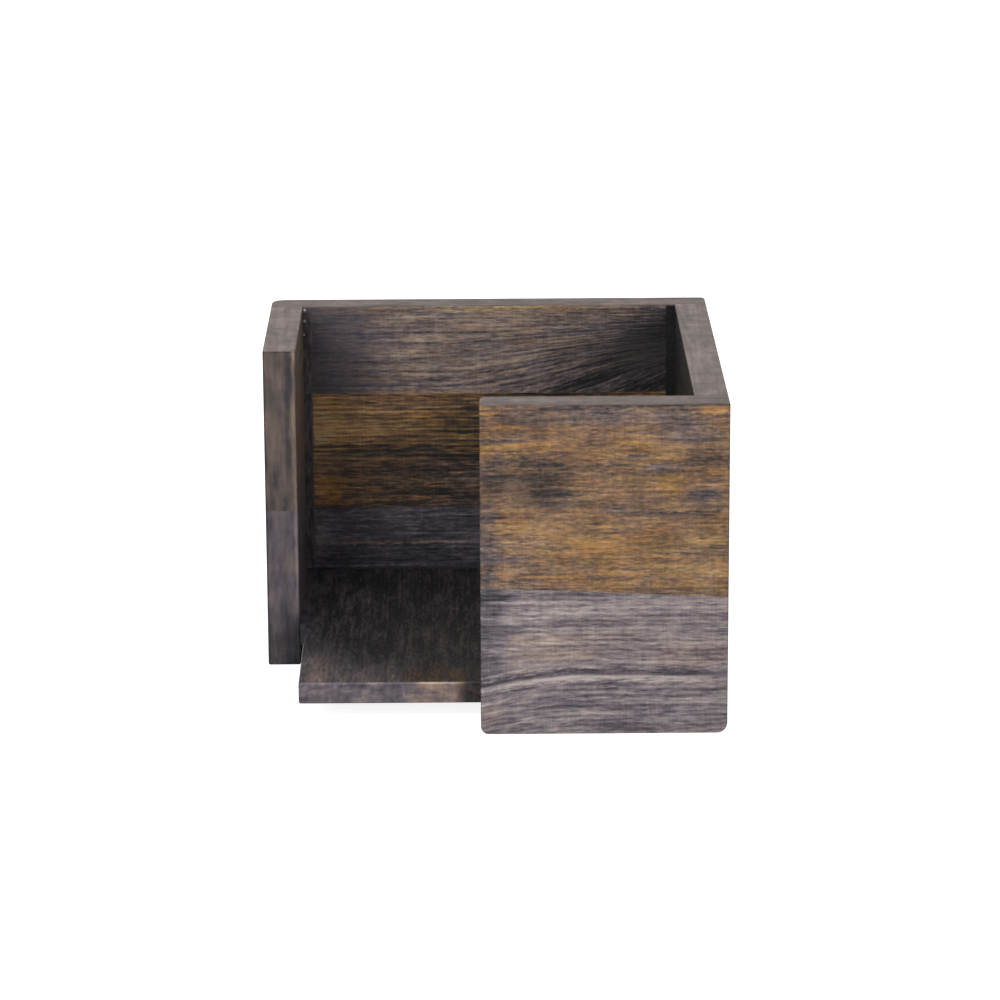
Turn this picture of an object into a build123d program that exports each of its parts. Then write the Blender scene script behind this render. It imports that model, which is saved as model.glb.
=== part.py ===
from build123d import *
import os

# An open-topped wooden napkin box whose front left corner is left open for the fingers.
#
# X runs left to right, Y from the front to the back and Z up. The origin is the centre of the
# box's footprint, on the surface that it stands on. All sizes are in millimetres.
#
# Each board is glued up from staves. The boards meet in butt joints on blind fluted dowels:
# the back board covers the ends of both side walls, the front board covers the front end of
# the right wall, and the base board sits between them, clear of the surface below.

# Overall size
box_width = 200.0  # outer face of the left wall to outer face of the right wall
box_depth = 200.0  # outer face of the front board to outer face of the back board
wall_height = 145.0

# Boards
board_thickness = 14.5  # walls, front board and back board
left_wall_reach = 101.0  # back of the box to the front end of the short left wall
front_board_width = 105.0  # right side of the box to the open edge of the front board
base_thickness = 9.5
base_lift = 9.5  # surface below to the underside of the base
base_set_back = 2.4  # strip left off the base's open side, ahead of the left wall

# Rounding of the corners and easing of the edges
back_left_radius = 6.0
back_right_radius = 2.5
front_top_radius = 2.2
front_low_left_radius = 3.4
front_low_right_radius = 4.6
edge_ease = 0.8

# Glue lines, as heights above the surface below
back_seams = [49.0, 71.0, 103.5]
left_seams = [71.7]
right_seams = [42.0, 98.0]
front_seam_at_open_edge = 65.3
front_seam_at_right_side = 60.7

# Glue lines of the base, as places across the box
base_seams = [-38.5, 6.0, 46.5]

# Dowels in the upright joints
corner_dowel_diameter = 6.0
corner_dowel_length = 30.0
corner_dowel_count = 3
corner_dowel_low_margin = 31.0  # surface below to the lowest dowel
corner_dowel_top_margin = 21.0  # highest dowel to the top of the box

# Dowels round the base
base_dowel_diameter = 5.0
base_dowel_length = 25.0
base_dowel_margin = 20.0  # first and last dowel to the ends of the joint
base_dowel_count = 2  # along each edge of the base

# What the dowels have in common
dowel_cover = 5.0  # wood left outside the tip of a dowel in the covering board
dowel_chamfer = 0.6
dowel_clearance = 0.05  # all round, for the glue
dowel_tip_gap = 1.0  # beyond each tip, for the glue
flute_count = 8
flute_depth = 0.35

# Places that follow from the sizes
left, right = -box_width / 2, box_width / 2
front, back = -box_depth / 2, box_depth / 2
well_left, well_right = left + board_thickness, right - board_thickness
well_front, well_back = front + board_thickness, back - board_thickness
open_side = right - front_board_width  # open edge of the front board
open_end = back - left_wall_reach  # front end of the left wall
base_edge = well_left + base_set_back
base_middle = base_lift + base_thickness / 2
left_middle, right_middle = left + board_thickness / 2, right - board_thickness / 2
tip_depth = board_thickness - dowel_cover  # depth of a dowel in the covering board


def spread(first, last, count):
    """Evenly spaced places from first to last."""
    return [first + (last - first) * step / (count - 1) for step in range(count)]


def base_places(start, end):
    """Places of the base's dowels along a joint from start to end."""
    return spread(start + base_dowel_margin, end - base_dowel_margin, base_dowel_count)


def round_corners(sketch, radii):
    """Round corners of a sketch, each given by its place in the sketch's own plane."""
    for place, radius in radii.items():
        fillet(sketch.vertices().sort_by_distance(place)[0], radius)


def is_sharp(edge, faces):
    """Whether an edge is an outer arris: its faces turn by an angle and don't meet in a hollow."""
    normals = [face.normal_at(edge @ 0.5) for face in faces if edge in face.edges()]
    return len(normals) == 2 and normals[0].get_angle(normals[1]) > 5 and not edge.is_interior


def bounds_step(edge):
    """Whether an edge bounds the step behind the front board's rounded low right corner."""
    place = edge @ 0.5
    low_right = place.X > right - front_low_right_radius and place.Z < front_low_right_radius
    return low_right and abs(place.Y - well_front) < edge_ease / 10


def flute_point(radius, step):
    """A corner of a dowel's outline, which lies on a ridge and in a flute by turns."""
    return Vector(radius - flute_depth * (step % 2), 0).rotate(Axis.Z, 180 / flute_count * step)


def fluted_dowel(diameter, length):
    """A dowel with V-shaped flutes and chamfered tips, its joint at Z 0 and its long end upwards."""
    ridge = diameter / 2
    tip = ridge - dowel_chamfer
    low, high = -tip_depth, length - tip_depth
    with BuildPart() as dowel:
        for height, radius in [
            (low, tip),
            (low + dowel_chamfer, ridge),
            (high - dowel_chamfer, ridge),
            (high, tip),
        ]:
            with BuildSketch(Plane.XY.offset(height)):
                with BuildLine():
                    Polyline([flute_point(radius, step) for step in range(2 * flute_count)], close=True)
                make_face()
        loft(ruled=True)
    return dowel.part


def bore(joints, diameter, length):
    """Drill both boards of a joint for its dowels, inside the block of the board being made."""
    with Locations(*joints):
        with Locations((0, 0, -tip_depth - dowel_tip_gap)):
            Cylinder(
                diameter / 2 + dowel_clearance,
                length + 2 * dowel_tip_gap,
                align=(Align.CENTER, Align.CENTER, Align.MIN),
                mode=Mode.SUBTRACT,
            )


def write(piece, name):
    """Label a finished piece and write it to its own file."""
    piece.part.label = name
    export_step(piece.part, f"parts/{name}.step")


# Where the dowels stand: on the joint face, with Z into the board that butts against it
dowel_heights = spread(corner_dowel_low_margin, wall_height - corner_dowel_top_margin, corner_dowel_count)
corner_joints = {
    "back_left_dowels": [
        Plane((left_middle, well_back, height), z_dir=(0, -1, 0)) for height in dowel_heights
    ],
    "back_right_dowels": [
        Plane((right_middle, well_back, height), z_dir=(0, -1, 0)) for height in dowel_heights
    ],
    "front_right_dowels": [
        Plane((right_middle, well_front, height), z_dir=(0, 1, 0)) for height in dowel_heights
    ],
}
base_joints = {
    "base_left_dowels": [
        Plane((well_left, place, base_middle), z_dir=(1, 0, 0))
        for place in base_places(open_end, well_back)
    ],
    "base_right_dowels": [
        Plane((well_right, place, base_middle), z_dir=(-1, 0, 0))
        for place in base_places(well_front, well_back)
    ],
    "base_back_dowels": [
        Plane((place, well_back, base_middle), z_dir=(0, -1, 0))
        for place in base_places(well_left, well_right)
    ],
    "base_front_dowels": [
        Plane((place, well_front, base_middle), z_dir=(0, 1, 0))
        for place in base_places(open_side, well_right)
    ],
}
all_corner_joints = [joint for row in corner_joints.values() for joint in row]
all_base_joints = [joint for row in base_joints.values() for joint in row]

os.makedirs("parts", exist_ok=True)

# The four upright boards, joined and sanded as one before they are told apart at their seams
with BuildPart() as uprights:
    with BuildSketch() as walls_plan:
        with BuildLine():
            Polyline(
                (left, open_end),
                (well_left, open_end),
                (well_left, well_back),
                (well_right, well_back),
                (well_right, well_front),
                (right, well_front),
                (right, back),
                (left, back),
                close=True,
            )
        make_face()
        round_corners(walls_plan, {(left, back): back_left_radius, (right, back): back_right_radius})
    extrude(amount=wall_height)
    with BuildSketch(Plane.XZ.offset(-well_front)) as front_elevation:
        with BuildLine():
            Polyline((open_side, 0), (right, 0), (right, wall_height), (open_side, wall_height), close=True)
        make_face()
        round_corners(
            front_elevation,
            {
                (open_side, 0): front_low_left_radius,
                (right, 0): front_low_right_radius,
                (open_side, wall_height): front_top_radius,
            },
        )
    extrude(amount=board_thickness)
    outer_faces = uprights.faces()
    sharp_edges = [edge for edge in uprights.edges() if is_sharp(edge, outer_faces)]
    fillet([edge for edge in sharp_edges if not bounds_step(edge)], edge_ease)
    bore(all_corner_joints, corner_dowel_diameter, corner_dowel_length)
    bore(all_base_joints, base_dowel_diameter, base_dowel_length)

# The base board, narrower ahead of the left wall, with its open edges eased
with BuildPart() as base:
    with BuildSketch(Plane.XY.offset(base_lift)):
        with BuildLine():
            Polyline(
                (base_edge, well_front),
                (well_right, well_front),
                (well_right, well_back),
                (well_left, well_back),
                (well_left, open_end),
                (base_edge, open_end),
                close=True,
            )
        make_face()
    extrude(amount=base_thickness)
    front_edges = base.faces().filter_by(Axis.Y).sort_by(Axis.Y)[0].edges()
    side_edges = base.faces().filter_by(Axis.X).sort_by(Axis.X)[1].edges()
    corner_edge = front_edges.filter_by(Axis.Z).sort_by(Axis.X)[0]
    fillet([corner_edge, *front_edges.filter_by(Axis.X), *side_edges.filter_by(Axis.Y)], edge_ease)
    bore(all_base_joints, base_dowel_diameter, base_dowel_length)


def write_staves(board, face, thickness, ends, seams, names):
    """Part a board at its glue lines, drawn on its face, and write each stave from the bottom up.

    Each glue line is given by its heights at the two ends of the face.
    """
    for low, high, name in zip(seams, seams[1:], names):
        with BuildPart() as stave:
            add(board)
            with BuildSketch(face):
                with BuildLine():
                    Polyline(
                        (ends[0], low[0]),
                        (ends[1], low[1]),
                        (ends[1], high[1]),
                        (ends[0], high[0]),
                        close=True,
                    )
                make_face()
            extrude(amount=thickness, mode=Mode.INTERSECT)
        write(stave, name)


def level(heights, low, high):
    """Glue lines that run level from end to end, between the two edges of a board."""
    return [(height, height) for height in [low, *heights, high]]


write_staves(
    uprights.part,
    Plane.XZ.offset(-back),
    board_thickness,
    (left, right),
    level(back_seams, 0, wall_height),
    [
        "back_board_bottom_stave",
        "back_board_lower_stave",
        "back_board_upper_stave",
        "back_board_top_stave",
    ],
)
write_staves(
    uprights.part,
    Plane.YZ.offset(left),
    board_thickness,
    (open_end, well_back),
    level(left_seams, 0, wall_height),
    ["left_wall_lower_stave", "left_wall_upper_stave"],
)
write_staves(
    uprights.part,
    Plane.YZ.offset(well_right),
    board_thickness,
    (well_front, well_back),
    level(right_seams, 0, wall_height),
    ["right_wall_lower_stave", "right_wall_middle_stave", "right_wall_upper_stave"],
)
write_staves(
    uprights.part,
    Plane.XZ.offset(-well_front),
    board_thickness,
    (open_side, right),
    [(0, 0), (front_seam_at_open_edge, front_seam_at_right_side), (wall_height, wall_height)],
    ["front_board_lower_stave", "front_board_upper_stave"],
)
write_staves(
    base.part,
    Plane((0, 0, base_lift), x_dir=(0, -1, 0), z_dir=(0, 0, 1)),
    base_thickness,
    (front, back),
    level(base_seams, well_left, well_right),
    ["base_left_stave", "base_inner_left_stave", "base_inner_right_stave", "base_right_stave"],
)

corner_dowel = fluted_dowel(corner_dowel_diameter, corner_dowel_length)
for row_name, joints in corner_joints.items():
    with BuildPart() as dowels:
        with Locations(*joints):
            add(corner_dowel)
    write(dowels, row_name)

base_dowel = fluted_dowel(base_dowel_diameter, base_dowel_length)
for row_name, joints in base_joints.items():
    with BuildPart() as dowels:
        with Locations(*joints):
            add(base_dowel)
    write(dowels, row_name)
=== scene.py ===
from math import cos, sin
from random import Random

import bmesh
import bpy
from mathutils import Matrix, Vector, noise as field


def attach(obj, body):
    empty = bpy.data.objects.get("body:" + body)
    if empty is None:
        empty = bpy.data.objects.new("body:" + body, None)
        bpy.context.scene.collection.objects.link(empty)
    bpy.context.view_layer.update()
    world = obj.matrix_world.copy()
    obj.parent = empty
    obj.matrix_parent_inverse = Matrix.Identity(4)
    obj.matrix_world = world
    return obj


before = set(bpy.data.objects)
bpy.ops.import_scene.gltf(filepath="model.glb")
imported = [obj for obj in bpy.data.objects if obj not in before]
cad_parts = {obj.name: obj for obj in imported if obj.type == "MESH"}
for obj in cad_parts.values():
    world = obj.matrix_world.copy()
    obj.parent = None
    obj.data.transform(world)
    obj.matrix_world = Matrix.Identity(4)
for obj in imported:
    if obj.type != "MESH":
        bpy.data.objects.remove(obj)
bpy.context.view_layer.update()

# Places on the box, in millimetres
WALL_HEIGHT = 145.0
WELL = 85.5  # middle of the box to the inner face of each wall
OUTSIDE = 100.0  # middle of the box to the outer face of each wall
OPEN_END = -1.0  # front end of the left wall
LEFT_SEAM = 71.7  # height of the left wall's glue line
FRONT_MIDDLE = 47.5  # middle of the front board, across the box
FRONT_REACH = 52.5  # middle of the front board to each of its edges
BASE_FRONT = -85.5  # front edge of the base
BASE_REACH = 83.1  # middle of the box to the base's open side
BASE_TOP = 19.0

# Sizes of the features in each layer of grain, in millimetres along, across and through a board
SWAY = (90, 22, 30)
FINE_LINES = (4, 0.95, 2.5)
BANDS = (32, 2.3, 8)
DRIFTS = (22, 9, 14)
PORES = (9, 1.1, 3)
WARM_STREAKS = (14, 1.7, 8)
WARM_DRIFTS = (26, 14, 14)
RUST_STREAKS = (20, 5, 12)
TOP_STREAKS = (26, 9, 2.2)
SCRATCHES = (8, 1.0, 6)  # across, along and through the board

RING_TURN = 2.8  # turn of the even lines' wave for each millimetre across the grain
SEED_SHIFT = (7.31, 3.77, 5.13)  # how far each step of a seed moves the noise
SEEDS_PER_STAVE = 20  # numbers kept for the layers of noise in one stave

# Glue beads in the corner of the left wall and the back board: height above the table and radius
GLUE_BEADS = [(143.0, 0.85), (138.0, 0.75), (131.6, 0.5)]

AMBIENT = 0.42  # light on the wood from all round, where white is 1
FLOOR_GLOW = 0.85  # glow that makes the floor white to the camera
FLOOR_RADIUS = 9.0  # metres

# The camera's place in metres, its angles in radians and its lens in millimetres
CAMERA_PLACE = (-0.00778, -1.79124, 0.57572)
PITCH, YAW, ROLL = 0.2721, 0.0067, -0.0048
FOCAL_LENGTH = 150.68


def tint(red, green, blue):
    """A colour as it looks on a screen, turned into linear light."""
    return tuple((level / 255) ** 2.2 for level in (red, green, blue)) + (1.0,)


# The stains, from wood that holds them fully to wood that is sanded almost bare
SLATE = [
    (0.00, tint(15, 15, 17)),
    (0.25, tint(60, 57, 63)),
    (0.50, tint(104, 96, 104)),
    (0.75, tint(148, 139, 142)),
    (1.00, tint(188, 178, 174)),
]
RUST = [
    (0.00, tint(18, 14, 12)),
    (0.25, tint(78, 55, 36)),
    (0.50, tint(132, 92, 53)),
    (0.75, tint(180, 129, 78)),
    (1.00, tint(216, 168, 120)),
]
STRAW = [
    (0.00, tint(17, 15, 13)),
    (0.25, tint(70, 58, 39)),
    (0.50, tint(119, 96, 60)),
    (0.75, tint(163, 135, 90)),
    (1.00, tint(202, 176, 136)),
]
SANDED = [(0.15, tint(82, 72, 68)), (0.5, tint(113, 101, 97)), (0.85, tint(142, 129, 125))]


class Graph:
    """The nodes of one material.

    A value is a number, a vector, a colour or another node's output. place, x, y and z are in
    millimetres. The noise of each layer has a number of its own, counted on from the seed.
    """

    def __init__(self, name, seed):
        self.seed = seed
        self.material = bpy.data.materials.new(name)
        self.material.use_nodes = True
        self.tree = self.material.node_tree
        self.tree.nodes.clear()
        self.place = self.vector("SCALE", self.node("TexCoord").outputs["Object"], Scale=1000.0)
        self.x, self.y, self.z = self.node("SeparateXYZ", Vector=self.place).outputs

    def node(self, kind, settings=(), **values):
        """A new node, with its settings and what goes into its sockets."""
        node = self.tree.nodes.new("ShaderNode" + kind)
        for key, value in dict(settings).items():
            setattr(node, key, value)
        for key, value in values.items():
            self.feed(node.inputs[key.replace("_", " ")], value)
        return node

    def feed(self, socket, value):
        """Link a value to a socket, or set the socket to it."""
        if isinstance(value, bpy.types.NodeSocket):
            self.tree.links.new(value, socket)
        else:
            socket.default_value = value

    def math(self, operation, *values, clamp=False):
        node = self.node("Math", {"operation": operation, "use_clamp": clamp})
        for socket, value in zip(node.inputs, values):
            self.feed(socket, value)
        return node.outputs[0]

    def vector(self, operation, *values, **named):
        node = self.node("VectorMath", {"operation": operation}, **named)
        for socket, value in zip(node.inputs, values):
            self.feed(socket, value)
        return node.outputs["Value" if operation == "LENGTH" else "Vector"]

    def clamp(self, value):
        """A value kept from 0 to 1."""
        return self.math("ADD", value, 0.0, clamp=True)

    def join(self, x, y, z):
        return self.node("CombineXYZ", X=x, Y=y, Z=z).outputs[0]

    def add(self, total, value, amount):
        """total + value * amount."""
        return self.math("MULTIPLY_ADD", value, amount, total)

    def product(self, *values):
        product = values[0]
        for value in values[1:]:
            product = self.math("MULTIPLY", product, value)
        return product

    def step(self, value, start, end):
        """0 up to start and 1 from end on, smooth between them. start may be above end."""
        node = self.node("MapRange", {"interpolation_type": "SMOOTHSTEP"}, Value=value)
        node.inputs["From Min"].default_value = start
        node.inputs["From Max"].default_value = end
        return node.outputs[0]

    def between(self, value, low, high, soft):
        """1 from low to high, fading to 0 over the soft distance beyond them."""
        return self.product(self.step(value, low - soft, low), self.step(value, high + soft, high))

    def ramp(self, value, stops):
        """A colour that goes through the stops, each a position and a colour."""
        node = self.node("ValToRGB", Fac=value)
        elements = node.color_ramp.elements
        while len(elements) < len(stops):
            elements.new(0.5)
        for element, (position, color) in zip(elements, stops):
            element.position, element.color = position, color
        return node.outputs[0]

    def mix(self, factor, a, b):
        """A colour that goes from a to b."""
        node = self.node("Mix", {"data_type": "RGBA"})
        for index, value in ((0, factor), (6, a), (7, b)):
            self.feed(node.inputs[index], value)
        return node.outputs[2]

    def blend(self, factor, a, b):
        """A number that goes from a to b."""
        node = self.node("Mix", {"data_type": "FLOAT"})
        for index, value in ((0, factor), (2, a), (3, b)):
            self.feed(node.inputs[index], value)
        return node.outputs[0]

    def noise(self, place, size, layer=0, detail=3.0, roughness=0.55):
        """Noise about 0, with features of the given size in millimetres along each axis."""
        seed = self.seed + layer
        where = self.vector("DIVIDE", place, tuple(float(length) for length in size))
        where = self.vector("ADD", where, tuple(seed * shift for shift in SEED_SHIFT))
        noise = self.node("TexNoise", Vector=where, Scale=1.0, Detail=detail, Roughness=roughness)
        return self.math("SUBTRACT", noise.outputs[0], 0.5)

    def finish(self, color, roughness, height, depth):
        """The finished material. depth is how deep its bumps are, in millimetres."""
        bump = self.node("Bump", Height=height, Strength=1.0, Distance=depth / 1000).outputs[0]
        shader = self.node("BsdfPrincipled", Base_Color=color, Roughness=roughness, Normal=bump)
        shader.inputs["Specular IOR Level"].default_value = 0.35
        self.node("OutputMaterial", Surface=shader.outputs[0])
        return self.material


class StainAndPaintedLight:
    """How one stave was stained and sanded, and the light and shade painted on it.

    light: how far it is sanded, from 0, all stain, to 1, bare
    warm: how much amber it shows, from 0, none, to 1
    marks: soft patches of stain and wear, some of them painted light and shade, each with its place
        along and across the grain, its reach along and across, and what it adds to light and to
        warm
    contrast: the strength of its grain
    rings: the strength of its even lines
    drift: the strength of its broad patches
    variety: the strength of its changes of colour
    run: the length of its streaks, where 1 is plain
    girth: the width of its streaks, where 1 is plain
    rust: its kind of amber, from 0, straw, to 1, rust
    inside: what is added to light on the face towards the well, as more stain and painted shade
    bend: a curve of its grain, from its start along the board onwards, to the right where its way
        is 1 and to the left where it is -1. The grain rises by its amount times the square of the
        distance, with none of that at one height and all of it from a lower one on
    calm: soft patches of evener grain, some of them painted shade, each with its place and reach as
        for marks, and the light that it tends to
    """

    def __init__(self, light, warm, marks=(), **changes):
        self.light, self.warm, self.marks = light, warm, marks
        self.contrast, self.rings, self.drift, self.variety = 1.0, 0.03, 0.45, 0.3
        self.run, self.girth, self.rust, self.inside = 1.0, 1.0, 0.5, 0.0
        self.bend, self.calm = None, ()
        for trait, value in changes.items():
            setattr(self, trait, value)


STAINS_AND_PAINTED_LIGHT = {
    "front_board_upper_stave": StainAndPaintedLight(
        light=0.5,
        warm=0.72,
        contrast=0.85,
        drift=0.55,
        run=0.8,
        rust=0.55,
        inside=-0.38,
        marks=[
            (47, 141, 60, 5, -0.06, -0.35),
            (93, 142.4, 9, 1.6, 0.24, 0.7),
            (-1, 141.5, 5, 1.4, 0.14, 0.5),
            (84, 133, 14, 6, -0.08, -0.35),
            (16, 126.4, 24, 3.2, 0.08, 0.25),
            (6, 129.2, 12, 1.0, -0.16, -0.5),
            (62, 125, 18, 5.5, 0.04, 0.25),
            (62, 122.4, 9, 0.9, -0.18, -0.5),
            (73, 117.5, 10, 1.8, -0.1, -0.6),
            (0.5, 113.5, 7.5, 9.5, -0.24, -0.15),
            (21, 112, 15, 13, -0.24, -0.2),
            (23, 105, 10, 4, -0.1, -0.1),
            (88, 105, 9, 4, -0.1, -0.35),
            (89, 119, 7, 7, -0.06, -0.1),
            (76, 111, 7, 5, 0.06, 0.25),
            (80, 97.4, 17, 1.0, -0.2, -0.4),
            (52, 99.4, 9, 1.5, -0.12, -0.3),
            (15, 89, 14, 9, 0.1, 0.05),
            (-2, 84, 6, 24, -0.1, -0.35),
            (6, 77.6, 16, 2.2, -0.12, -0.3),
            (-1, 69.5, 7, 3.2, -0.14, -0.3),
            (50, 80, 70, 18, 0.07, 0.12),
        ],
    ),
    "front_board_lower_stave": StainAndPaintedLight(
        light=0.62,
        warm=0.1,
        contrast=0.95,
        rings=0.055,
        drift=0.35,
        variety=0.06,
        run=1.5,
        girth=1.25,
        inside=-0.4,
        bend={"start": 42.0, "way": -1, "amount": -0.0025, "none": 42.0, "full": 22.0},
        marks=[
            (-1, 61, 11, 4.4, -0.28, -0.3),
            (-2, 46, 9, 22, -0.18, -0.3),
            (50, 58, 60, 5, 0.09, -0.02),
            (24, 42.5, 30, 3, 0.04, 0.16),
            (26, 36, 26, 4, 0.03, 0.16),
            (86, 35, 22, 7, -0.02, 0.1),
            (30, 30.4, 50, 1.2, 0.12, 0.0),
            (48, 27.6, 15, 2.1, -0.24, -0.05),
            (79, 27.6, 16, 2.3, -0.26, -0.05),
            (14, 27.2, 32, 1.5, -0.28, -0.05),
            (18, 24.8, 64, 1.7, 0.3, 0.0),
            (74, 24.0, 30, 1.7, 0.2, 0.0),
            (50, 11, 80, 13, -0.05, -0.06),
            (-1, 13, 6, 4, 0.06, 0.2),
        ],
    ),
    "back_board_top_stave": StainAndPaintedLight(
        light=0.53,
        warm=0.36,
        rings=0.06,
        drift=0.4,
        variety=0.28,
        rust=0.2,
        run=1.2,
        bend={"start": -30.0, "way": 1, "amount": 0.0022, "none": 144.0, "full": 112.0},
        # The second calm patch is painted shade: the grain evens out to a dark level towards the
        # right wall
        calm=[(-80, 122, 36, 60, 0.36), (84, 108, 34, 24, 0.17)],
        marks=[
            (-76, 122, 34, 34, -0.14, -0.3),
            (2, 143.9, 50, 2.0, 0.14, 0.4),
            # Painted shadow of the front board and the right wall, darkening the right of the stave
            (112, 96, 96, 46, -0.42, -0.2),
            (106, 130, 48, 36, -0.34, -0.2),
            (40, 95, 30, 4, -0.12, -0.1),
        ],
    ),
    "back_board_upper_stave": StainAndPaintedLight(
        light=0.42,
        warm=0.84,
        contrast=1.2,
        run=1.8,
        rings=0.08,
        marks=[
            (-58, 93, 44, 15, 0.19, 0.05),
            (-82, 86, 14, 34, 0.32, 0.15),
            (-20, 74.5, 90, 3.4, -0.2, -0.2),
            # Painted shadow of the front board over the right of the stave
            (14, 86, 60, 24, -0.27, 0.1),
        ],
    ),
    "back_board_lower_stave": StainAndPaintedLight(
        light=0.235,
        warm=0.7,
        contrast=1.25,
        run=1.6,
        rust=0.7,
        marks=[
            (-82, 60, 14, 20, 0.32, 0.1),
            (-74, 56, 8, 8, 0.05, 0.3),
            (0, 60, 26, 14, -0.05, -0.2),
        ],
    ),
    "back_board_bottom_stave": StainAndPaintedLight(
        light=0.24,
        warm=0.0,
        contrast=0.85,
        variety=0.1,
        marks=[
            (-45, 46, 50, 3.0, 0.08, -0.1),
            (-45, 38, 60, 5.0, 0.05, 0.0),
            (-44, 32.6, 44, 1.3, 0.15, 0.35),
            (-50, 21.0, 44, 0.7, 0.1, 0.0),
            (0, 24, 90, 6, -0.12, 0.0),
            (-81, 38, 12, 18, 0.24, 0.0),
        ],
    ),
    "left_wall_upper_stave": StainAndPaintedLight(light=0.48, warm=0.5, inside=-0.09, rust=0.0),
    "left_wall_lower_stave": StainAndPaintedLight(light=0.5, warm=0.1, inside=-0.13, variety=0.1, rust=0.0),
    # The dark insides of the right wall are darker stain and painted shade of the well
    "right_wall_upper_stave": StainAndPaintedLight(light=0.47, warm=0.3, inside=-0.48),
    "right_wall_middle_stave": StainAndPaintedLight(light=0.49, warm=0.75, inside=-0.5),
    "right_wall_lower_stave": StainAndPaintedLight(light=0.54, warm=0.12, inside=-0.53, variety=0.1, rings=0.06),
    # Base staves: dark stain all over. Their marks paint light at the front and the left of the
    # base, where it comes in at the open corner
    "base_left_stave": StainAndPaintedLight(
        light=0.05,
        warm=0.1,
        contrast=0.55,
        drift=1.1,
        rust=0.0,
        marks=[
            (-88, -62, 46, 30, 0.2, 0.14),
            (-84, -41.5, 18, 3.0, 0.1, 0.1),
            (-62, -77, 40, 9, 0.15, 0.08),
            (10, -84, 60, 10, 0.06, 0.0),
        ],
    ),
    "base_inner_left_stave": StainAndPaintedLight(
        light=0.04,
        warm=0.2,
        contrast=0.55,
        drift=0.8,
        # Painted light at the front, as on the base's left stave
        marks=[(-84, -22, 28, 20, 0.06, 0.9), (-84, -38, 10, 4, 0.06, 0.1)],
    ),
    "base_inner_right_stave": StainAndPaintedLight(light=0.05, warm=0.3, contrast=0.35),
    "base_right_stave": StainAndPaintedLight(light=0.05, warm=0.2, contrast=0.35),
}


def layered_wood(node_name, seed, stain):
    """The material of one stave, with its grain running along the board."""
    g = Graph(node_name, seed)
    if node_name.startswith("base"):
        along, across, deep = g.y, g.x, g.z
    elif "wall" in node_name:
        along, across, deep = g.y, g.z, g.x
    else:
        along, across, deep = g.x, g.z, g.y
    rung = bent_grain(g, along, across, **stain.bend) if stain.bend else across
    rung = g.add(rung, g.noise(g.join(along, rung, deep), SWAY, detail=1.0), 2.2)
    grain = g.join(g.product(along, 1 / stain.run), g.product(rung, 1 / stain.girth), deep)

    # Grain: short fine lines, bands, drifts of stain, even rings and dark pores
    fine = g.noise(grain, FINE_LINES, 1, roughness=0.65)
    band = g.noise(grain, BANDS, 2, detail=4.0, roughness=0.6)
    drift = g.noise(grain, DRIFTS, 3, detail=4.0, roughness=0.6)
    pore = g.step(g.noise(grain, PORES, 4, detail=2.0), 0.12, 0.22)
    ring = g.math("SINE", g.add(g.product(rung, RING_TURN), drift, 4.5))
    grown = g.add(g.math("ADD", fine, band), pore, -0.2)
    grown = g.add(grown, ring, stain.rings)
    light = g.add(stain.light, grown, stain.contrast)
    light = g.add(light, drift, stain.drift * stain.contrast)
    warm = g.add(stain.warm, grown, 2.5 * stain.variety)
    warm = g.add(warm, g.noise(grain, WARM_STREAKS, 5, roughness=0.65), 2.0 * stain.variety)
    warm = g.add(warm, g.noise(grain, WARM_DRIFTS, 6), 2.4 * stain.variety)

    # Marks of the sander across the grain, and the stave's own patches of stain, wear and painted
    # light and shade, ragged along the grain
    scratch = g.noise(g.join(across, along, deep), SCRATCHES, 7)
    light = g.add(light, scratch, 0.22 * stain.contrast)
    across_well = g.math("MAXIMUM", g.math("ABSOLUTE", g.x), g.math("ABSOLUTE", g.y))
    inner = g.step(across_well, WELL + 0.7, WELL + 0.1)
    shown = shown_face(g, node_name, inner)
    ragged = g.join(g.add(along, band, 16.0), g.add(rung, fine, 4.0), 0.0)
    for *area, lighter, warmer in stain.marks:
        share = g.product(shown, patch(g, ragged, *area))
        light = g.add(light, share, lighter)
        warm = g.add(warm, share, warmer)
    for *area, level in stain.calm:
        share = g.product(shown, patch(g, ragged, *area))
        light = g.blend(g.product(share, 0.6), light, level)

    # What is special to some faces
    if stain.inside:
        # The faces towards the well hold more stain and take painted shade of the well, which evens
        # out their grain
        light = g.blend(inner, light, g.add(0.4 * stain.light + stain.inside, light, 0.6))
    if node_name.startswith("back"):
        light, warm = unsanded_and_shaded_strips(g, light, warm, inner, band)
    if node_name.startswith("left"):
        light, warm = left_wall_end(g, light, warm)
    if node_name.startswith("base"):
        light, warm = base_edges(g, light, warm)
    if node_name.startswith("front"):
        light = front_edges(g, light)

    # Colour, shine and bumps, and the sanded upper edge
    rust = g.add(stain.rust, g.noise(grain, RUST_STREAKS, 13, roughness=0.6), 2.0)
    amber = g.mix(g.clamp(rust), g.ramp(light, STRAW), g.ramp(light, RUST))
    color = g.mix(g.clamp(warm), g.ramp(light, SLATE), amber)
    top = g.step(g.z, WALL_HEIGHT - 0.7, WALL_HEIGHT - 0.15)
    top_grain = g.noise(g.join(along, across, deep), TOP_STREAKS, 15)
    color = g.mix(top, color, sanded_top(g, node_name, top_grain, fine))
    roughness = g.blend(top, g.add(0.5, light, 0.15), 0.6)
    height = g.product(g.add(fine, band, 0.6), g.blend(top, 1.0, 0.25))
    return g.finish(color, roughness, height, depth=0.12)


def bent_grain(g, along, across, start, way, amount, none, full):
    """Places across the grain of a board whose grain curves, as Stain tells."""
    past = g.math("MAXIMUM", g.product(g.math("SUBTRACT", along, start), way), 0.0)
    return g.math("SUBTRACT", across, g.product(past, past, amount, g.step(across, none, full)))


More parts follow.
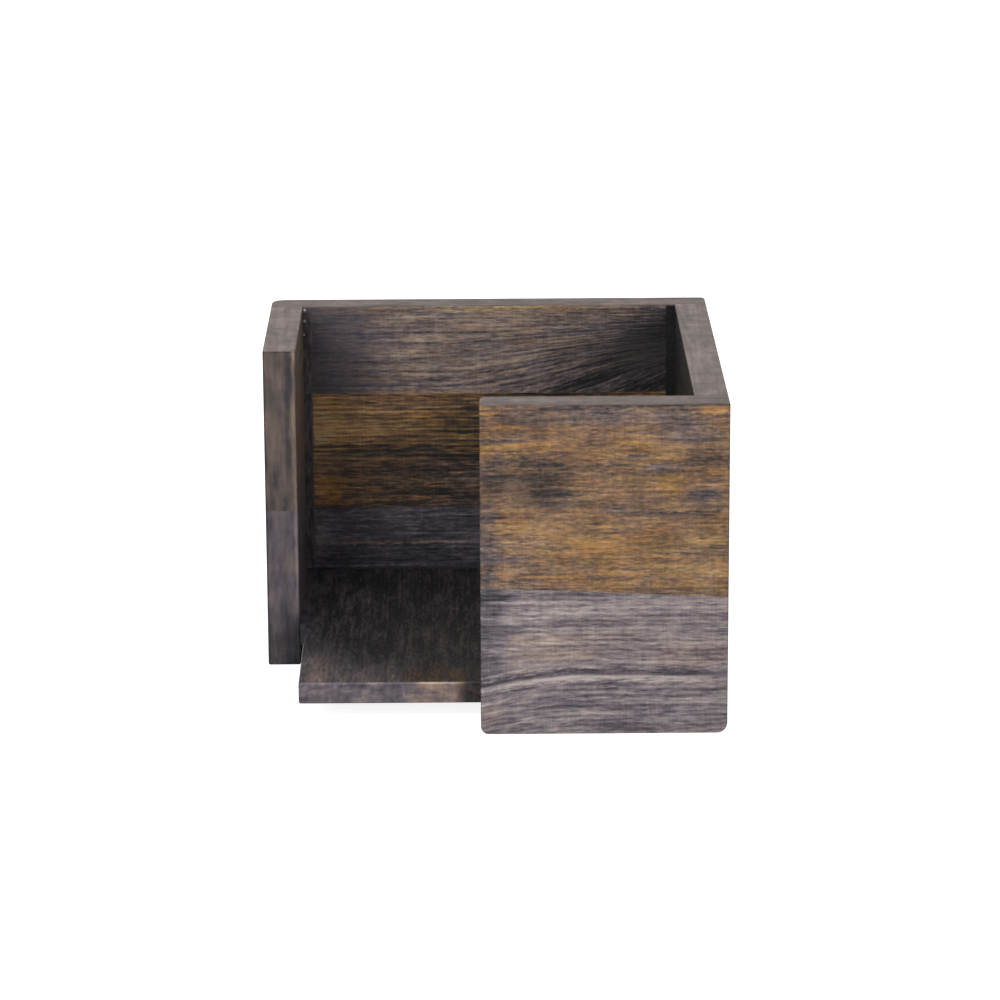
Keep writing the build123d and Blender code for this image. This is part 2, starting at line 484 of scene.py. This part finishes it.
def shown_face(g, node_name, inner):
    """1 on the face of a stave that the photograph shows, where its own patches go."""
    if node_name.startswith("back"):
        return inner
    if node_name.startswith("front"):
        return g.step(g.y, -WELL - 0.1, -WELL - 0.7)
    return g.step(g.z, BASE_TOP - 0.7, BASE_TOP - 0.1)


def patch(g, ragged, along, across, reach, spread):
    """1 in the middle of a soft patch, fading to 0 a little beyond its reach and spread."""
    offset = g.vector("SUBTRACT", ragged, (along, across, 0.0))
    distance = g.vector("LENGTH", g.vector("DIVIDE", offset, (reach, spread, 1.0)))
    return g.step(distance, 1.3, 0.3)


def sanded_top(g, node_name, top_grain, fine):
    """The colour of a board's upper edge, which is a little darker at the front and the back."""
    level = 0.38 if "board" in node_name else 0.5
    haze = g.add(level, g.noise(g.place, (7, 7, 7), 9, roughness=0.5), 0.8)
    haze = g.add(haze, g.noise(g.place, (30, 30, 30), 10), 0.7)
    haze = g.add(haze, top_grain, 0.8)
    return g.ramp(g.add(haze, fine, 0.25), SANDED)


def unsanded_and_shaded_strips(g, light, warm, inner, band):
    """The back board's dark strips beside the walls and above the base: stain that the sander
    missed, with painted shade in the corners, darker towards the right wall.
    """
    nap = g.noise(g.place, (1.6, 2, 7), 8)
    beside = g.step(g.add(g.math("ABSOLUTE", g.x), nap, 3.0), 81.0, 82.2)
    above = g.step(g.add(g.z, band, 3.0), BASE_TOP + 1.6, BASE_TOP + 0.5)
    beside, above = g.product(inner, beside), g.product(inner, above)
    # Painted shade: lighter in the left corner, darker in the right one
    shade = g.blend(g.step(g.x, -10.0, 10.0), 0.35, -0.12)
    light = g.blend(beside, light, g.add(shade, nap, 0.9))
    return g.blend(above, light, 0.05), g.blend(beside, warm, 0.1)


def front_edges(g, light):
    """The front board's end grain at both edges, darkened also as painted shade on the rounded
    edges, and painted shade along its top edge.
    """
    from_middle = g.math("ABSOLUTE", g.math("SUBTRACT", g.x, FRONT_MIDDLE))
    light = g.add(light, g.step(from_middle, FRONT_REACH - 0.6, FRONT_REACH), -0.2)
    face = g.step(g.y, -OUTSIDE + 1.2, -OUTSIDE + 0.4)
    # Painted shade along the top of the outer face
    painted_top_edge_shade = g.product(face, g.step(g.z, WALL_HEIGHT - 1.5, WALL_HEIGHT - 0.7))
    light = g.add(light, g.product(painted_top_edge_shade, g.step(g.x, 20.0, 80.0)), -0.22)
    return g.add(light, painted_top_edge_shade, -0.1)


def left_wall_end(g, light, warm):
    """The sanded end grain at the front of the left wall, with painted shade and a painted
    highlight.
    """
    end = g.step(g.y, OPEN_END + 0.8, OPEN_END + 0.25)
    streak = g.noise(g.place, (3.2, 30, 16), 11)
    blotch = g.noise(g.place, (6, 30, 10), 12, detail=4.0)
    low = g.step(g.z, LEFT_SEAM + 0.7, LEFT_SEAM - 0.7)
    tone = g.add(0.365, streak, 0.5)
    tone = g.add(tone, blotch, 0.4)
    tone = g.add(tone, low, 0.04)

    # Painted shade: darker towards the table, and most of all in the corner by the base
    corner = g.product(g.step(g.z, 32.0, 10.0), g.step(g.x, -96.0, -88.0))
    tone = g.add(tone, g.step(g.z, 34.0, 8.0), -0.16)
    tone = g.add(tone, corner, -0.16)

    # A dark line of painted shade above the glue line, and the worn edge beside the well, bare at
    # its top, also lightened as a painted highlight along the arris
    wavy = g.add(g.x, streak, 3.0)
    line = g.product(g.between(wavy, -90.2, -88.6, 0.8), g.step(g.z, 66.0, 90.0))
    worn_edge_with_highlight = g.product(g.between(wavy, -87.0, -85.9, 0.5), g.step(g.z, 20.0, 40.0))
    bare = g.product(worn_edge_with_highlight, g.step(g.z, 136.0, 143.0))
    tone = g.add(tone, line, -0.09)
    tone = g.add(tone, worn_edge_with_highlight, 0.14)
    tone = g.add(tone, bare, 0.2)

    # Dark along the outer edge, and painted shade along the top edge
    tone = g.add(tone, g.step(g.x, -98.8, -99.6), -0.18)
    tone = g.add(tone, g.step(g.z, WALL_HEIGHT - 1.4, WALL_HEIGHT - 0.6), -0.14)
    hue = g.blend(low, g.add(0.36, streak, 0.8), g.add(0.08, blotch, 1.0))
    hue = g.add(hue, bare, 0.15)
    return g.blend(end, light, tone), g.blend(end, warm, hue)


def base_edges(g, light, warm):
    """The base's front edge, slate at the left, then bare and tan, then darkened by painted shadow
    of the front board, with a painted highlight along its top arris, and its open side.
    """
    side = g.step(g.x, -BASE_REACH + 0.7, -BASE_REACH + 0.1)
    side_grain = g.noise(g.place, (30, 14, 1.6), 14, detail=4.0, roughness=0.65)
    light = g.blend(side, light, g.add(0.14, side_grain, 0.6))

    front = g.step(g.y, BASE_FRONT + 0.7, BASE_FRONT + 0.2)
    streak = g.noise(g.place, (2.0, 30, 5), 11)
    blotch = g.noise(g.place, (8, 30, 3), 12, detail=4.0)
    bare = g.between(g.add(g.x, blotch, 8.0), -29.0, -16.0, 7.0)
    # Painted shadow of the front board over the right of the edge
    dark = g.step(g.add(g.x, blotch, 5.0), -18.0, -9.0)
    # Painted highlight along the top arris
    painted_arris_highlight = g.step(g.z, BASE_TOP - 1.3, BASE_TOP - 0.6)
    tone = g.add(g.add(0.44, streak, 0.4), blotch, 0.8)
    tone = g.add(tone, bare, 0.17)
    tone = g.add(tone, dark, -0.35)
    tone = g.add(tone, g.product(painted_arris_highlight, g.add(0.25, bare, 0.75)), 0.3)
    hue = g.add(g.add(g.add(-0.02, bare, 0.38), dark, 0.3), blotch, 1.2)
    return g.blend(front, light, tone), g.blend(front, warm, hue)


def raw_beech():
    """Bare wood, for the dowels inside the boards."""
    g = Graph("raw_beech", 41)
    fleck = g.noise(g.place, (1.2, 3.5, 1.2))
    stops = [(0.3, tint(186, 150, 108)), (0.5, tint(206, 172, 128)), (0.7, tint(219, 188, 146))]
    color = g.ramp(g.add(0.5, fleck, 1.0), stops)
    return g.finish(color, g.add(0.6, fleck, 0.2), fleck, depth=0.08)


def dried_glue():
    """Pale glue that was pressed out of a joint."""
    g = Graph("dried_glue", 43)
    cloud = g.noise(g.place, (0.5, 0.5, 0.5))
    stops = [(0.3, tint(120, 118, 124)), (0.7, tint(196, 194, 200))]
    color = g.ramp(g.add(0.5, cloud, 1.0), stops)
    return g.finish(color, g.add(0.4, cloud, 0.3), cloud, depth=0.05)


def studio_white():
    """A pale paper that the camera sees as white, and that keeps the box's shadow."""
    g = Graph("studio_white", 51)
    paper = g.add(0.5, g.noise(g.place, (400, 400, 400)), 1.0)
    color = g.ramp(paper, [(0.0, (0.8, 0.8, 0.8, 1)), (1.0, (0.84, 0.84, 0.84, 1))])
    diffuse = g.node("BsdfDiffuse", Color=color)
    seen = g.node("LightPath").outputs["Is Camera Ray"]
    glow = g.node("Emission", Strength=g.product(seen, FLOOR_GLOW))
    together = g.node("AddShader")
    g.feed(together.inputs[0], diffuse.outputs[0])
    g.feed(together.inputs[1], glow.outputs[0])
    g.node("OutputMaterial", Surface=together.outputs[0])
    return g.material


def new_piece(name, mesh, material):
    """An object made of a finished mesh and one material."""
    data = bpy.data.meshes.new(name)
    mesh.to_mesh(data)
    mesh.free()
    data.materials.append(material)
    piece = bpy.data.objects.new(name, data)
    bpy.context.collection.objects.link(piece)
    return piece


def glue_bead(number, height, radius, lumps, glue):
    """A bead of glue in the corner of the left wall and the back board.

    lumps is the place in a noise that the lumps are taken from.
    """
    mesh = bmesh.new()
    bmesh.ops.create_icosphere(mesh, subdivisions=4, radius=1.0)
    # Nearer to both boards than its radius, so that it is sunk into them
    middle = Vector((-WELL + 0.9 * radius, WELL - 0.5 * radius, height)) / 1000
    for vertex in mesh.verts:
        swell = 1.0 + 0.35 * field.noise(vertex.co * 1.3 + Vector((lumps, 0, 0)))
        vertex.co = vertex.co * swell * radius / 1000 + middle
    bead = new_piece(f"glue_bead_{number}", mesh, glue)
    bead.data.shade_smooth()
    return bead


def studio_floor():
    """A wide round floor under the box."""
    mesh = bmesh.new()
    bmesh.ops.create_circle(mesh, cap_ends=True, segments=96, radius=FLOOR_RADIUS)
    return new_piece("studio_floor", mesh, studio_white())


beech = raw_beech()
for number, (name, node) in enumerate(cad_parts.items()):
    seed = SEEDS_PER_STAVE * number + 1
    wood = layered_wood(name, seed, STAINS_AND_PAINTED_LIGHT[name]) if name in STAINS_AND_PAINTED_LIGHT else beech
    node.data.materials.clear()
    node.data.materials.append(wood)

glue = dried_glue()
chance = Random(5)
for number, (height, radius) in enumerate(GLUE_BEADS, start=1):
    bead = glue_bead(number, height, radius, chance.uniform(0, 50), glue)
    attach(bead, "root")

studio_floor()

# White all round for the camera and for reflections, and a softer light on the wood
world = bpy.data.worlds.new("studio")
world.use_nodes = True
nodes, links = world.node_tree.nodes, world.node_tree.links
nodes.clear()
path = nodes.new("ShaderNodeLightPath")
seen_or_mirrored = nodes.new("ShaderNodeMath")
seen_or_mirrored.operation = "MAXIMUM"
level = nodes.new("ShaderNodeMapRange")
level.inputs["To Min"].default_value = AMBIENT
background = nodes.new("ShaderNodeBackground")
background.inputs["Color"].default_value = (1, 1, 1, 1)
output = nodes.new("ShaderNodeOutputWorld")
links.new(path.outputs["Is Camera Ray"], seen_or_mirrored.inputs[0])
links.new(path.outputs["Is Glossy Ray"], seen_or_mirrored.inputs[1])
links.new(seen_or_mirrored.outputs[0], level.inputs["Value"])
links.new(level.outputs[0], background.inputs["Strength"])
links.new(background.outputs[0], output.inputs["Surface"])
bpy.context.scene.world = world


def softbox(name, place, aim, size, power):
    """A square studio lamp that faces a point. Places and size are in metres, power in watts."""
    lamp = bpy.data.lights.new(name, "AREA")
    lamp.shape = "SQUARE"
    lamp.size = size
    lamp.energy = power
    holder = bpy.data.objects.new(name, lamp)
    holder.location = place
    holder.rotation_euler = (Vector(aim) - Vector(place)).to_track_quat("-Z", "Y").to_euler()
    bpy.context.collection.objects.link(holder)


softbox("key", place=(-0.9, -1.9, 1.1), aim=(0, 0, 0.07), size=1.2, power=26.0)
softbox("over", place=(0.2, 0.3, 2.2), aim=(0, 0, 0.1), size=1.6, power=12.0)

# Camera, placed and aimed as the photograph was taken
forward = Vector((sin(YAW) * cos(PITCH), cos(YAW) * cos(PITCH), -sin(PITCH)))
level_side = Vector((cos(YAW), -sin(YAW), 0.0))
level_up = level_side.cross(forward)
side = cos(ROLL) * level_side + sin(ROLL) * level_up
up = cos(ROLL) * level_up - sin(ROLL) * level_side
camera_data = bpy.data.cameras.new("camera")
camera_data.sensor_width = 36.0
camera_data.lens = FOCAL_LENGTH
camera_data.clip_end = 50.0
camera = bpy.data.objects.new("camera", camera_data)
turn = Matrix((side, up, -forward)).transposed().to_4x4()
camera.matrix_world = Matrix.Translation(CAMERA_PLACE) @ turn
bpy.context.collection.objects.link(camera)
bpy.context.scene.camera = camera
bpy.context.scene.view_settings.view_transform = "Standard"
